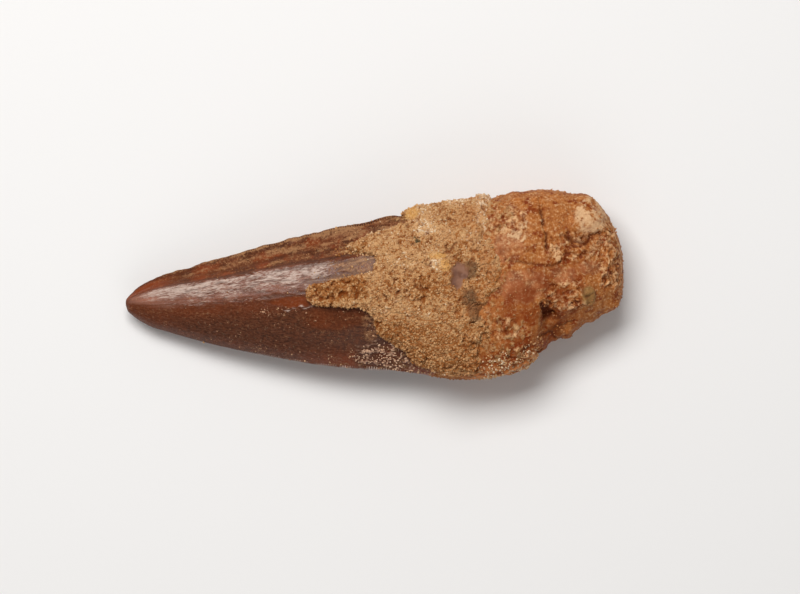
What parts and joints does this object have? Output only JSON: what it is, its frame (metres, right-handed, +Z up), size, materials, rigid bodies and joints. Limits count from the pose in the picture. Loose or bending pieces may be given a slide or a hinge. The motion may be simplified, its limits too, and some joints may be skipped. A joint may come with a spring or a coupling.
{
  "type": "fossil dinosaur tooth",
  "caption": "Fossil tooth of a meat-eating dinosaur: a pointed, keeled crown with serrated edges, a rough broken root, and a crust of sandstone cemented across the middle, lying on its side.",
  "frame": {"origin": "middle of the bounding box in plan, on the plane that the tooth lies on", "axes": "+X from the tip of the crown to the broken end of the root, +Y from the front cutting edge to the rear cutting edge, +Z up out of the face that carries the sandstone"},
  "size_m": [0.0498, 0.0186, 0.0106],
  "materials": {
    "fossil_tooth": "glossy brown enamel on the crown, dull orange-brown on the root",
    "sandstone": "rough golden sandstone"
  },
  "bodies": {
    "root": {"tooth": "fossil_tooth", "sandstone_crust": "sandstone"}
  },
  "joints": []
}
